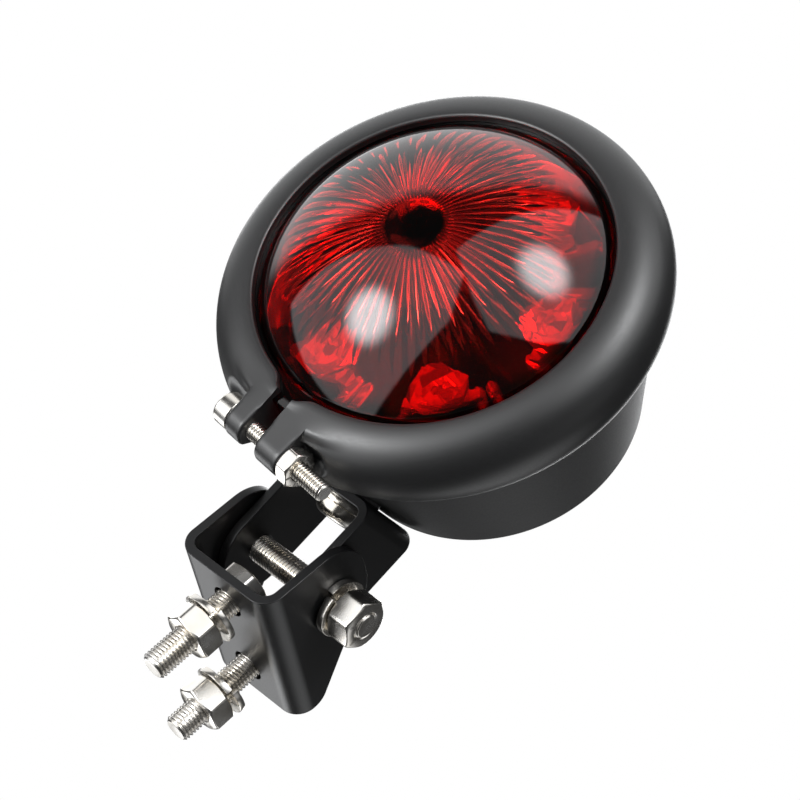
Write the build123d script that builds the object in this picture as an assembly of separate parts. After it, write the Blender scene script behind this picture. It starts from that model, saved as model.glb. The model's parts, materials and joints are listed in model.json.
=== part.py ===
from build123d import *
import math
import os

# Round motorcycle tail light on a tilting two-piece bracket. Millimetres, +Z up.
# Origin: centre of the underside of the base bracket's web, midway between the two mounting bolts.
# The lens looks along -Y, the tilt axis runs along X, the mounting bolts point along -Z.
#
# Lamp pieces are drawn in the lamp's own frame (origin at the middle of the ring's front opening,
# lens axis along Y, lens towards -Y) and are then put on the pivot by lamp_place().

# ---- sheet metal brackets -------------------------------------------------------------------
SHEET = 2.0
BASE_HALF_WIDTH = 13.0
BASE_LENGTH = 38.5
BASE_BEND = 2.6
PIVOT_Y = -4.5
PIVOT_Z = 15.8
LOBE_TOP = 8.9
LOBE_FRONT_RADIUS = 9.6
LOBE_REAR_RADIUS = 7.6
LEG_CORNER_RADIUS = 4.0
BOLT_PITCH = 22.0
BOLT_HOLE_RADIUS = 3.6

ARM_GAP = 0.2
ARM_HALF_WIDTH = BASE_HALF_WIDTH - SHEET - ARM_GAP
ARM_WIDTH = 20.0
ARM_BEND = 1.8
ARM_WEB_TOP = -36.1
LAMP_PIVOT_Y = 38.5
LAMP_PIVOT_Z = -56.6
NOD_ANGLE = 10.0

# ---- lamp -----------------------------------------------------------------------------------
OPENING_RADIUS = 36.1
RING_TUBE_RADIUS = 9.4
RING_TUBE_CENTRE = (36.6, 9.4)
RING_REAR_ANGLE = 48.0
RING_GAP = 4.5
RING_CLOCKING = 5.5
EAR_HEAD_X = 7.0
EAR_NUT_X = 8.85
CLAMP_AXIS_Y = 5.3
CLAMP_AXIS_Z = -46.5
EAR_RADIUS = 3.7
EAR_ROOT_Z = -41.0
EAR_ROOT_Y = 13.5
SCALLOP_RADIUS = 4.7
LIP_THICKNESS = 1.8

HOUSING_FRONT_RADIUS = 41.4
HOUSING_BACK_RADIUS = 32.3
HOUSING_FRONT_Y = 16.6
HOUSING_BACK_Y = 52.0
HOUSING_WALL = 2.2
BACK_RECESS = 2.0
FLANGE_FRONT_Y = 12.0
FLANGE_REAR_Y = 14.4
FLANGE_RADIUS = 42.6
FLANGE_INNER_RADIUS = 37.8
HOUSING_TAPER = math.degrees(
    math.atan((HOUSING_FRONT_RADIUS - HOUSING_BACK_RADIUS) / (HOUSING_BACK_Y - HOUSING_FRONT_Y))
)
BOSS_SHIFT = -3.5
BOSS_HEIGHT = 5.5
BOSS_RADIUS = 6.5

LENS_EDGE_RADIUS = 35.3
LENS_EDGE_Y = 1.6
LENS_APEX_Y = -15.0
LENS_WALL = 2.2
LENS_SKIRT_RADIUS = 40.1
LENS_SKIRT_END_Y = 10.4

BOARD_FRONT_Y = 19.0
BOARD_THICKNESS = 1.6
BOARD_RADIUS = 34.0
LED_COUNT = 6
LED_CIRCLE = 25.0
LED_PHASE = 12.0
OPTIC_FRONT_Y = 6.0
REFLECTOR_FLOOR_Y = 14.0
REFLECTOR_WALL = 1.4
STANDOFF_COUNT = 3
STANDOFF_CIRCLE = 13.0

# ---- metric hardware: thread radius, head or nut width across flats, height ---------------------
M6_RADIUS = 3.0
M6_FLATS = 10.0
M6_HEAD = 4.0
M6_NUT = 5.0
M6_CORE = 2.8
M6_WASHER_RADIUS = 6.0
M6_WASHER_THICKNESS = 1.6
PIVOT_WASHER_THICKNESS = 2.6
PIVOT_NUT = 5.7
M4_RADIUS = 2.0
M4_FLATS = 7.0
M4_NUT = 3.2
M4_HEAD_RADIUS = 3.5
M4_HEAD = 4.0
THREAD_CLEARANCE = 0.05
WASHER_TOPS = (4.1, 6.9)
NUT_SLACK = 0.4
NUT_TURNS = (20, 23)
WASHER_TURNS = (-56, -38)
PIVOT_NUT_TURN = 18
CLAMP_NUT_TURN = 10
BOLT_REACH = 20.0
BUTTON_HEAD_RADIUS = 5.25
BUTTON_HEAD = 3.3
BUTTON_SOCKET_FLATS = 4.0
BUTTON_LENGTH = 15.0
SCALLOP_LENGTH = 16.0
CLAMP_SCREW_LENGTH = 26.5
GROMMET_BORE = 4.5
WIRE_BORE = 2.6
OPTIC_FOOT = 3.4
OPTIC_FACE = 6.4
POST_RADIUS = 6.0
POST_HEIGHT = 7.0


def hexagon_prism(flats, height, chamfer_both_ends=True):
    """Hexagonal bar along +Z from 0, its corners turned off at 30 degrees."""
    bar = extrude(RegularPolygon(flats / 2, 6, major_radius=False), height)
    corner = flats / math.sqrt(3)
    drop = (corner - flats / 2 * 0.97) * math.tan(math.radians(30))
    top = [(corner, height - drop), (flats / 2 * 0.97, height)]
    bottom = [(flats / 2 * 0.97, 0), (corner, drop)] if chamfer_both_ends else [(corner, 0)]
    outline = Polyline([(0, 0), *bottom, *top, (0, height), (0, 0)])
    turned = revolve(Plane.XZ * make_face(outline), Axis.Z)
    return bar & turned


def tube(outer, inner, length):
    return extrude(Circle(outer) - Circle(inner), length)


def turned_rod(steps, tip_chamfer):
    """Rod down -Z from 0 made of (radius, length) steps, with a chamfered tip."""
    rod = Part()
    depth = 0
    for radius, length in steps:
        rod += Pos(0, 0, -depth - length) * extrude(Circle(radius), length)
        depth += length
    tip = rod.edges().filter_by(GeomType.CIRCLE).sort_by(Axis.Z)[0]
    return chamfer(tip, tip_chamfer)


def hex_nut(flats, height, bore):
    return hexagon_prism(flats, height) - extrude(Circle(bore), height)


def split_washer(outer, inner, thickness):
    """Spring washer: a flat ring with one slanted slot, underside at 0."""
    slot = Pos(outer, 0, thickness / 2) * Rot(20, 0, 0) * Box(2 * outer, 0.7, 4 * thickness)
    return tube(outer, inner, thickness) - slot


def along_plus_x(x, y, z):
    """Place for hardware drawn along +Z that has to point along +X."""
    return Pos(x, y, z) * Rot(0, 90, 0)


def lamp_place():
    return Pos(0, PIVOT_Y, PIVOT_Z) * Rot(NOD_ANGLE, 0, 0) * Pos(0, -LAMP_PIVOT_Y, -LAMP_PIVOT_Z)


def ring_place():
    return lamp_place() * Rot(0, RING_CLOCKING, 0)


def turned_about_lens_axis(outline):
    """Solid of revolution about Y from a closed outline of (radius, y) points or edges."""
    return revolve(make_face(outline), Axis.Y)


# ---- base bracket and its hardware ----------------------------------------------------------
def channel(half_width, height, bend, length):
    """U channel along Y: web underside at z = 0, legs up."""
    outer = Pos(0, height / 2) * Rectangle(2 * half_width, height)
    outer = fillet(outer.vertices().group_by(Axis.Y)[0], bend + SHEET)
    inner = Pos(0, SHEET + height / 2) * Rectangle(2 * (half_width - SHEET), height)
    inner = fillet(inner.vertices().group_by(Axis.Y)[0], bend)
    return Pos(0, length / 2, 0) * extrude(Plane.XZ * (outer - inner), length)


def pivot_bore(radius):
    length = 4 * BASE_HALF_WIDTH
    return Pos(0, PIVOT_Y, PIVOT_Z) * Rot(0, 90, 0) * Cylinder(radius, length)


def base_bracket():
    half = BASE_LENGTH / 2
    top = PIVOT_Z + LOBE_TOP
    front_top = (1.2 - half, top)
    rear_top = (PIVOT_Y + 2, top)
    rear_low = (half, PIVOT_Z - LOBE_TOP)
    side = make_face(Polyline([(-half, 0), front_top, rear_top, rear_low, (half, 0), (-half, 0)]))
    front_corner, rear_corner = side.vertices().group_by(Axis.Y)[-1].sort_by(Axis.X)
    side = fillet(front_corner, LOBE_FRONT_RADIUS)
    side = fillet(side.vertices().sort_by_distance((rear_corner.X, rear_corner.Y, 0))[0], LOBE_REAR_RADIUS)
    side = fillet(side.vertices().sort_by_distance((*rear_low, 0))[0], LEG_CORNER_RADIUS)
    bracket = channel(BASE_HALF_WIDTH, top + 5, BASE_BEND, BASE_LENGTH)
    bracket &= extrude(Plane.YZ * side, BASE_HALF_WIDTH, both=True)
    for y in (-BOLT_PITCH / 2, BOLT_PITCH / 2):
        bracket -= Pos(0, y, 0) * extrude(Circle(BOLT_HOLE_RADIUS), SHEET)
    bracket -= pivot_bore(M6_RADIUS + 0.1)
    return bracket


def mounting_bolts():
    """Two hex bolts, heads on the web inside the channel, threads hanging below it."""
    bolts = []
    for y, washer_top in zip((-BOLT_PITCH / 2, BOLT_PITCH / 2), WASHER_TOPS):
        steps = [(M6_CORE, SHEET), (M6_RADIUS, washer_top), (M6_CORE, BOLT_REACH - washer_top)]
        bolt = turned_rod(steps, 0.6) + hexagon_prism(M6_FLATS, M6_HEAD)
        bolts.append(Pos(0, y, SHEET) * bolt)
    return bolts


def mounting_washers():
    washer = split_washer(M6_WASHER_RADIUS, M6_CORE + 0.4, M6_WASHER_THICKNESS)
    places = zip((-BOLT_PITCH / 2, BOLT_PITCH / 2), WASHER_TOPS, WASHER_TURNS)
    return [Pos(0, y, -top - M6_WASHER_THICKNESS) * Rot(0, 0, turn) * washer for y, top, turn in places]


def mounting_nuts():
    nut = hex_nut(M6_FLATS, M6_NUT, M6_CORE + THREAD_CLEARANCE)
    places = zip((-BOLT_PITCH / 2, BOLT_PITCH / 2), WASHER_TOPS, NUT_TURNS)
    drop = M6_WASHER_THICKNESS + NUT_SLACK + M6_NUT
    return [Pos(0, y, -top - drop) * Rot(0, 0, turn) * nut for y, top, turn in places]


def pivot_bolt():
    """Hex bolt along X: plain where the arms turn on it, head and flat washer outside the -X leg."""
    plain = M6_WASHER_THICKNESS + 2 * BASE_HALF_WIDTH
    threaded = PIVOT_WASHER_THICKNESS + PIVOT_NUT + NUT_SLACK
    bolt = turned_rod([(M6_RADIUS, plain), (M6_CORE, threaded)], 0.6)
    bolt += hexagon_prism(M6_FLATS, M6_HEAD)
    x = -BASE_HALF_WIDTH - M6_WASHER_THICKNESS
    return Pos(x, PIVOT_Y, PIVOT_Z) * Rot(0, -90, 0) * Rot(0, 0, 12) * bolt


def pivot_flat_washer():
    washer = tube(M6_WASHER_RADIUS, M6_RADIUS + 0.2, M6_WASHER_THICKNESS)
    return along_plus_x(-BASE_HALF_WIDTH - M6_WASHER_THICKNESS, PIVOT_Y, PIVOT_Z) * washer


def pivot_lock_washer():
    washer = split_washer(M6_WASHER_RADIUS + 0.2, M6_CORE + 0.4, PIVOT_WASHER_THICKNESS)
    return along_plus_x(BASE_HALF_WIDTH, PIVOT_Y, PIVOT_Z) * Rot(0, 0, -70) * washer


def pivot_nut():
    nut = hex_nut(M6_FLATS, PIVOT_NUT, M6_CORE + THREAD_CLEARANCE)
    x = BASE_HALF_WIDTH + PIVOT_WASHER_THICKNESS
    return along_plus_x(x, PIVOT_Y, PIVOT_Z) * Rot(0, 0, PIVOT_NUT_TURN) * nut


# ---- arm bracket under the housing ----------------------------------------------------------
def web_place():
    """Foot of the bracket screw's axis on the arm bracket's sloping web, +Z square to the web."""
    slope = Rot(HOUSING_TAPER, 0, 0)
    return lamp_place() * Pos(0, LAMP_PIVOT_Y, ARM_WEB_TOP) * slope * Pos(0, BOSS_SHIFT, 0)


def arm_bracket():
    """Inverted U: web along the housing's taper, two arms with round ends on the pivot bolt."""
    reach = ARM_WEB_TOP - LAMP_PIVOT_Z
    side = Circle(ARM_WIDTH / 2) + Pos(0, reach) * Rectangle(ARM_WIDTH, 2 * reach)
    blank = channel(ARM_HALF_WIDTH, 2 * reach, ARM_BEND, 2 * ARM_WIDTH)
    blank = Pos(0, 0, reach) * Rot(180 + HOUSING_TAPER, 0, 0) * blank
    blank &= extrude(Plane.YZ * side, ARM_HALF_WIDTH, both=True)
    bracket = lamp_place() * Pos(0, LAMP_PIVOT_Y, LAMP_PIVOT_Z) * blank
    hole = web_place() * Cylinder(M6_RADIUS + 0.3, 4 * SHEET)
    return bracket - hole - pivot_bore(M6_RADIUS + THREAD_CLEARANCE)


def bracket_screw():
    """Button-head screw, head below the arm bracket's web, thread up into the housing."""
    head = extrude(Circle(BUTTON_HEAD_RADIUS), BUTTON_HEAD)
    head = fillet(head.edges().filter_by(GeomType.CIRCLE).sort_by(Axis.Z)[0], BUTTON_HEAD - 0.4)
    head -= extrude(RegularPolygon(BUTTON_SOCKET_FLATS / 2, 6, major_radius=False), BUTTON_HEAD / 2)
    shank = Pos(0, 0, BUTTON_HEAD) * extrude(Circle(M6_CORE), BUTTON_LENGTH)
    screw = chamfer((head + shank).edges().filter_by(GeomType.CIRCLE).sort_by(Axis.Z)[-1], 0.5)
    return web_place() * Pos(0, 0, -SHEET - M6_WASHER_THICKNESS - BUTTON_HEAD) * screw


def bracket_washer():
    washer = split_washer(M6_WASHER_RADIUS - 0.1, M6_CORE + 0.4, M6_WASHER_THICKNESS)
    return web_place() * Pos(0, 0, -SHEET - M6_WASHER_THICKNESS) * Rot(0, 0, 130) * washer


def bracket_nut():
    nut = hex_nut(M6_FLATS, M6_NUT, M6_CORE + THREAD_CLEARANCE)
    return web_place() * Pos(0, 0, BOSS_HEIGHT) * nut


# ---- housing, ring, lens --------------------------------------------------------------------
def housing_radius(y):
    share = (y - HOUSING_FRONT_Y) / (HOUSING_BACK_Y - HOUSING_FRONT_Y)
    return HOUSING_FRONT_RADIUS + share * (HOUSING_BACK_RADIUS - HOUSING_FRONT_RADIUS)


def housing():
    """Tapered bucket with a clamping flange in front and a recessed back wall."""
    back_inner = HOUSING_BACK_Y - BACK_RECESS - HOUSING_WALL
    shell = turned_about_lens_axis(
        Polyline(
            [
                (FLANGE_INNER_RADIUS, FLANGE_FRONT_Y),
                (FLANGE_RADIUS, FLANGE_FRONT_Y),
                (FLANGE_RADIUS, FLANGE_REAR_Y),
                (HOUSING_FRONT_RADIUS, FLANGE_REAR_Y),
                (HOUSING_FRONT_RADIUS, HOUSING_FRONT_Y),
                (HOUSING_BACK_RADIUS, HOUSING_BACK_Y),
                (HOUSING_BACK_RADIUS - HOUSING_WALL, HOUSING_BACK_Y),
                (HOUSING_BACK_RADIUS - HOUSING_WALL, HOUSING_BACK_Y - BACK_RECESS),
                (0, HOUSING_BACK_Y - BACK_RECESS),
                (0, back_inner),
                (housing_radius(back_inner) - HOUSING_WALL, back_inner),
                (HOUSING_FRONT_RADIUS - HOUSING_WALL, HOUSING_FRONT_Y),
                (FLANGE_INNER_RADIUS, FLANGE_REAR_Y),
                (FLANGE_INNER_RADIUS, FLANGE_FRONT_Y),
            ]
        )
    )
    rim = [e for e in shell.edges().filter_by(GeomType.CIRCLE) if abs(e.radius - HOUSING_BACK_RADIUS) < 0.01]
    shell = fillet(rim, 1.2)
    shell -= Pos(0, HOUSING_BACK_Y, 0) * Rot(90, 0, 0) * Cylinder(GROMMET_BORE, 20)
    shell = lamp_place() * shell
    shell += web_place() * extrude(Circle(BOSS_RADIUS), BOSS_HEIGHT)
    return shell - web_place() * Cylinder(M6_CORE + 0.3, 20)


def cable_grommet():
    """Rubber bush in the back wall where the wires leave."""
    inside = HOUSING_BACK_Y - BACK_RECESS - HOUSING_WALL
    outside = HOUSING_BACK_Y - BACK_RECESS
    lip = 1.6
    bush = turned_about_lens_axis(
        Polyline(
            [
                (WIRE_BORE, inside - lip),
                (GROMMET_BORE + 1.6, inside - lip),
                (GROMMET_BORE + 1.6, inside),
                (GROMMET_BORE, inside),
                (GROMMET_BORE, outside),
                (GROMMET_BORE + 1.6, outside),
                (GROMMET_BORE + 1.0, outside + lip),
                (WIRE_BORE, outside + lip),
                (WIRE_BORE, inside - lip),
            ]
        )
    )
    return lamp_place() * bush


def ring_section():
    """Half-round outside, stepped channel inside that holds the lens skirt and housing flange."""
    centre_r, centre_y = RING_TUBE_CENTRE
    outside = CenterArc(RING_TUBE_CENTRE, RING_TUBE_RADIUS, -90, 90 + RING_REAR_ANGLE)
    rear = math.radians(RING_REAR_ANGLE)
    rear_r = centre_r + RING_TUBE_RADIUS * math.cos(rear)
    rear_y = centre_y + RING_TUBE_RADIUS * math.sin(rear)
    inside = Polyline(
        [
            (rear_r, rear_y),
            (HOUSING_FRONT_RADIUS + 0.3, rear_y),
            (HOUSING_FRONT_RADIUS + 0.3, FLANGE_REAR_Y + 0.1),
            (FLANGE_RADIUS + 0.3, FLANGE_REAR_Y + 0.1),
            (FLANGE_RADIUS + 0.3, LENS_SKIRT_END_Y + 0.6),
            (LENS_SKIRT_RADIUS + 0.3, LENS_SKIRT_END_Y + 0.6),
            (LENS_SKIRT_RADIUS + 0.3, LIP_THICKNESS),
            (OPENING_RADIUS, LIP_THICKNESS),
            (OPENING_RADIUS, 0.5),
            (centre_r, 0),
        ]
    )
    return [outside, inside]


def channel_void():
    """Everything inside the ring's channel, kept free of the ears."""
    skirt = LENS_SKIRT_RADIUS + 0.3
    flange = FLANGE_RADIUS + 0.3
    step = LENS_SKIRT_END_Y + 0.6
    outline = [(0, -5), (skirt, -5), (skirt, step), (flange, step), (flange, 20), (0, 20), (0, -5)]
    return turned_about_lens_axis(Polyline(outline))


def ear_profile():
    """Side view (y, z) of a clamp ear: wide at the ring, round about the clamp screw."""
    root = Polyline(
        [
            (CLAMP_AXIS_Y - EAR_RADIUS, CLAMP_AXIS_Z),
            (CLAMP_AXIS_Y - EAR_RADIUS, EAR_ROOT_Z),
            (EAR_ROOT_Y, EAR_ROOT_Z),
            (CLAMP_AXIS_Y + EAR_RADIUS, CLAMP_AXIS_Z),
            (CLAMP_AXIS_Y - EAR_RADIUS, CLAMP_AXIS_Z),
        ]
    )
    return make_face(root) + Pos(CLAMP_AXIS_Y, CLAMP_AXIS_Z) * Circle(EAR_RADIUS)


def clamp_ring():
    """Split ring whose two ends turn outward into ears for the clamp screw."""
    ring = turned_about_lens_axis(ring_section())
    relief = Rot(0, 90, 0) * Cylinder(SCALLOP_RADIUS, 2 * SCALLOP_LENGTH)
    relief = fillet(relief.edges().filter_by(GeomType.CIRCLE), SCALLOP_RADIUS - 0.8)
    ring -= Pos(0, CLAMP_AXIS_Y, CLAMP_AXIS_Z) * relief
    ears = Pos(-EAR_HEAD_X, 0, 0) * extrude(Plane.YZ * ear_profile(), EAR_HEAD_X + EAR_NUT_X)
    ears -= channel_void()
    ring += ears
    ring -= Pos(0, 0, -45) * Box(RING_GAP, 80, 30)
    bore = Pos(0, CLAMP_AXIS_Y, CLAMP_AXIS_Z) * Rot(0, 90, 0) * Cylinder(M4_RADIUS + 0.2, 40)
    return ring_place() * (ring - bore)


def clamp_screw():
    """Plain cheese-head M4 screw through both ears, head at -X."""
    head = extrude(Circle(M4_HEAD_RADIUS), M4_HEAD)
    head = fillet(head.edges().filter_by(GeomType.CIRCLE).sort_by(Axis.Z)[-1], 0.6)
    screw = turned_rod([(M4_RADIUS - 0.1, CLAMP_SCREW_LENGTH)], 0.5) + head
    place = Pos(-EAR_HEAD_X, CLAMP_AXIS_Y, CLAMP_AXIS_Z) * Rot(0, -90, 0)
    return ring_place() * place * screw


def clamp_nut():
    nut = hex_nut(M4_FLATS, M4_NUT, M4_RADIUS - 0.1 + THREAD_CLEARANCE)
    place = along_plus_x(EAR_NUT_X, CLAMP_AXIS_Y, CLAMP_AXIS_Z) * Rot(0, 0, CLAMP_NUT_TURN)
    return ring_place() * place * nut


def dome_radius():
    height = LENS_EDGE_Y - LENS_APEX_Y
    return (LENS_EDGE_RADIUS**2 + height**2) / (2 * height)


def lens():
    """Domed lens with a flat shoulder under the ring's lip and a short skirt."""
    radius = dome_radius()
    centre_y = LENS_APEX_Y + radius
    inner = radius - LENS_WALL
    inner_edge = LENS_EDGE_RADIUS - LENS_WALL
    inner_y = centre_y - math.sqrt(inner**2 - inner_edge**2)
    middle = math.radians(25)
    outer_mid = (radius * math.sin(middle), centre_y - radius * math.cos(middle))
    inner_mid = (inner * math.sin(middle), centre_y - inner * math.cos(middle))
    skirt_inner = LENS_SKIRT_RADIUS - LENS_WALL
    outline = [
        ThreePointArc((0, LENS_APEX_Y), outer_mid, (LENS_EDGE_RADIUS, LENS_EDGE_Y)),
        Polyline(
            [
                (LENS_EDGE_RADIUS, LENS_EDGE_Y),
                (LENS_EDGE_RADIUS, LIP_THICKNESS + 0.1),
                (LENS_SKIRT_RADIUS, LIP_THICKNESS + 0.1),
                (LENS_SKIRT_RADIUS, LENS_SKIRT_END_Y),
                (skirt_inner, LENS_SKIRT_END_Y),
                (skirt_inner, LIP_THICKNESS + LENS_WALL),
                (inner_edge, LIP_THICKNESS + LENS_WALL),
                (inner_edge, inner_y),
            ]
        ),
        ThreePointArc((inner_edge, inner_y), inner_mid, (0, LENS_APEX_Y + LENS_WALL)),
        Line((0, LENS_APEX_Y + LENS_WALL), (0, LENS_APEX_Y)),
    ]
    return lamp_place() * turned_about_lens_axis(outline)


def lens_gasket():
    seal = tube(LENS_SKIRT_RADIUS, FLANGE_INNER_RADIUS, FLANGE_FRONT_Y - LENS_SKIRT_END_Y)
    return lamp_place() * Pos(0, FLANGE_FRONT_Y, 0) * Rot(90, 0, 0) * seal


# ---- light unit inside ----------------------------------------------------------------------
def around_lens_axis(count, circle, phase):
    """Places on a circle about the lens axis, in lamp coordinates."""
    angles = [math.radians(phase + 360 / count * i) for i in range(count)]
    return [Pos(circle * math.cos(a), 0, circle * math.sin(a)) for a in angles]


def facing_front(y):
    """Put a shape drawn along +Z so that it starts at y and points to the lens."""
    return Pos(0, y, 0) * Rot(90, 0, 0)


def reflector():
    """Bright dish: rim behind the lens, flat floor with a hole for each optic block."""
    rim_r = FLANGE_INNER_RADIUS - 0.6
    floor_r = BOARD_RADIUS - 1.5
    front_y = LENS_SKIRT_END_Y - 0.6
    back_y = REFLECTOR_FLOOR_Y + REFLECTOR_WALL
    dish = turned_about_lens_axis(
        Polyline(
            [
                (rim_r, front_y),
                (rim_r, front_y + REFLECTOR_WALL),
                (floor_r + REFLECTOR_WALL, back_y),
                (0, back_y),
                (0, REFLECTOR_FLOOR_Y),
                (floor_r, REFLECTOR_FLOOR_Y),
                (rim_r - REFLECTOR_WALL, front_y),
                (rim_r, front_y),
            ]
        )
    )
    for place in around_lens_axis(LED_COUNT, LED_CIRCLE, LED_PHASE):
        dish -= place * facing_front(back_y + 1) * extrude(Circle(OPTIC_FOOT + 0.3), 4)
    return lamp_place() * dish


def led_board():
    board = facing_front(BOARD_FRONT_Y + BOARD_THICKNESS) * extrude(Circle(BOARD_RADIUS), BOARD_THICKNESS)
    for place in around_lens_axis(STANDOFF_COUNT, STANDOFF_CIRCLE, 90):
        board -= place * facing_front(BOARD_FRONT_Y + 5) * extrude(Circle(1.6), 10)
    return lamp_place() * board


def leds():
    chip = Pos(0, 0, 0.8) * Box(5.0, 5.0, 1.6)
    dome = Pos(0, 0, 1.6) * (Sphere(1.9) & Pos(0, 0, 2) * Box(6, 6, 4))
    places = around_lens_axis(LED_COUNT, LED_CIRCLE, LED_PHASE)
    return [lamp_place() * place * facing_front(BOARD_FRONT_Y) * (chip + dome) for place in places]


def optic_blocks():
    """Faceted clear collimators, one in front of each LED."""
    length = BOARD_FRONT_Y - 4.0 - OPTIC_FRONT_Y
    foot = RegularPolygon(OPTIC_FOOT, 8)
    face = Pos(0, 0, length) * RegularPolygon(OPTIC_FACE, 8)
    block = loft([foot, face])
    places = around_lens_axis(LED_COUNT, LED_CIRCLE, LED_PHASE)
    start = BOARD_FRONT_Y - 4.0
    return [lamp_place() * place * facing_front(start) * block for place in places]


def centre_post():
    """Dark turned post that fills the middle of the light unit."""
    post = facing_front(REFLECTOR_FLOOR_Y) * Cone(
        POST_RADIUS + 1.5, POST_RADIUS, POST_HEIGHT, align=(Align.CENTER, Align.CENTER, Align.MIN)
    )
    return lamp_place() * post


def board_standoffs():
    back_inner = HOUSING_BACK_Y - BACK_RECESS - HOUSING_WALL
    start = BOARD_FRONT_Y + BOARD_THICKNESS
    pillar = hexagon_prism(5.5, back_inner - start, True) - extrude(Circle(1.4), 8)
    places = around_lens_axis(STANDOFF_COUNT, STANDOFF_CIRCLE, 90)
    return [lamp_place() * p * Pos(0, start, 0) * Rot(-90, 0, 0) * pillar for p in places]


def board_screws():
    head = extrude(Circle(2.75), 1.9)
    head = fillet(head.edges().filter_by(GeomType.CIRCLE).sort_by(Axis.Z)[-1], 0.8)
    screw = head + Pos(0, 0, -7) * extrude(Circle(1.35), 7)
    places = around_lens_axis(STANDOFF_COUNT, STANDOFF_CIRCLE, 90)
    return [lamp_place() * place * facing_front(BOARD_FRONT_Y) * screw for place in places]


def wire_connector():
    y = BOARD_FRONT_Y + BOARD_THICKNESS
    return lamp_place() * Pos(20, y + 4, 0) * Box(6, 8, 12)


def drive_resistors():
    y = BOARD_FRONT_Y + BOARD_THICKNESS + 0.6
    return [lamp_place() * Pos(-22, y, step) * Box(3.2, 1.2, 6.0) for step in (-9, 0, 9)]


def drive_capacitor():
    can = Rot(-90, 0, 0) * extrude(Circle(3.15), 8)
    can = fillet(can.edges().filter_by(GeomType.CIRCLE).sort_by(Axis.Y)[-1], 0.8)
    return lamp_place() * Pos(6, BOARD_FRONT_Y + BOARD_THICKNESS, -22) * can


NODES = {
    "base_bracket": base_bracket,
    "mounting_bolts": mounting_bolts,
    "mounting_lock_washers": mounting_washers,
    "mounting_nuts": mounting_nuts,
    "pivot_bolt": pivot_bolt,
    "pivot_flat_washer": pivot_flat_washer,
    "pivot_lock_washer": pivot_lock_washer,
    "pivot_nut": pivot_nut,
    "arm_bracket": arm_bracket,
    "bracket_screw": bracket_screw,
    "bracket_lock_washer": bracket_washer,
    "bracket_nut": bracket_nut,
    "housing": housing,
    "cable_grommet": cable_grommet,
    "clamp_ring": clamp_ring,
    "clamp_screw": clamp_screw,
    "clamp_nut": clamp_nut,
    "lens": lens,
    "lens_gasket": lens_gasket,
    "reflector": reflector,
    "optic_blocks": optic_blocks,
    "leds": leds,
    "centre_post": centre_post,
    "led_board": led_board,
    "board_standoffs": board_standoffs,
    "board_screws": board_screws,
    "wire_connector": wire_connector,
    "drive_resistors": drive_resistors,
    "drive_capacitor": drive_capacitor,
}

os.makedirs("parts", exist_ok=True)
for name, make in NODES.items():
    made = make()
    shape = Compound(made) if isinstance(made, list) else made
    shape.label = name
    export_step(shape, f"parts/{name}.step")
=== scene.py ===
import json
import math

import bmesh
import bpy
import numpy as np
from mathutils import Matrix, Vector


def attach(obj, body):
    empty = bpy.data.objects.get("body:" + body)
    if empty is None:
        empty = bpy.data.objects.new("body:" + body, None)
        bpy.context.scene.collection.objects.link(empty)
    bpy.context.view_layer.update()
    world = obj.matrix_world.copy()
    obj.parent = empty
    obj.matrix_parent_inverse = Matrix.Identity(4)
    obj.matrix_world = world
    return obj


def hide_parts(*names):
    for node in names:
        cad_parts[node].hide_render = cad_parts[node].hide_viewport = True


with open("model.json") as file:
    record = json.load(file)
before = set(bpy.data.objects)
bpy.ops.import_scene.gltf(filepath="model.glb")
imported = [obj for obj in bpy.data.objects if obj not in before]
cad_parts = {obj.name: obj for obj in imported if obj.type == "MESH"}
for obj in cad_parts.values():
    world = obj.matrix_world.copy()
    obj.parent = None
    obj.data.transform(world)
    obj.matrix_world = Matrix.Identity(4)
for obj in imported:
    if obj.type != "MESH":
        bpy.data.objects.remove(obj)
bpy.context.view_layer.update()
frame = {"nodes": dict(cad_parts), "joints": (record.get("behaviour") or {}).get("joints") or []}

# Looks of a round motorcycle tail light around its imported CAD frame. Metres, row frame.
# Lamp pieces are modelled in the lamp's own frame (origin at the middle of the ring's front
# opening, lens axis along Y, lens towards -Y), in millimetres, and put on the hinge by LAMP.

MM = 0.001

HINGE = Vector(frame["joints"][0]["pos_m"])
NOD = math.radians(10)
LAMP_PIVOT = Vector((0, 38.5, -56.6)) * MM
RING_CLOCKING = math.radians(5.5)

LAMP = (
    Matrix.Translation(HINGE)
    @ Matrix.Rotation(NOD, 4, "X")
    @ Matrix.Translation(-LAMP_PIVOT)
    @ Matrix.Scale(MM, 4)
)
RING = LAMP @ Matrix.Rotation(RING_CLOCKING, 4, "Y")
ROW = Matrix.Scale(MM, 4)


# ---- camera, light and floor --------------------------------------------------------------
CAMERA_PLACE = Vector((252.3, -383.4, -137.4)) * MM
CAMERA_RIGHT = Vector((0.7072, 0.1327, 0.6944))
CAMERA_UP = Vector((-0.4697, -0.6459, 0.6018))
CAMERA_LENS = 108
FLOOR_Z = -0.34


def turned_to(x_axis, y_axis, place):
    """World matrix whose X and Y axes follow the given directions."""
    x = x_axis.normalized()
    z = x.cross(y_axis).normalized()
    y = z.cross(x)
    turn = Matrix((x, y, z)).transposed().to_4x4()
    return Matrix.Translation(place) @ turn


def make_camera():
    data = bpy.data.cameras.new("camera")
    data.lens = CAMERA_LENS
    data.sensor_width = 36
    data.clip_start = 0.01
    camera = bpy.data.objects.new("camera", data)
    bpy.context.scene.collection.objects.link(camera)
    camera.matrix_world = turned_to(CAMERA_RIGHT, CAMERA_UP, CAMERA_PLACE)
    bpy.context.scene.camera = camera


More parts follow.
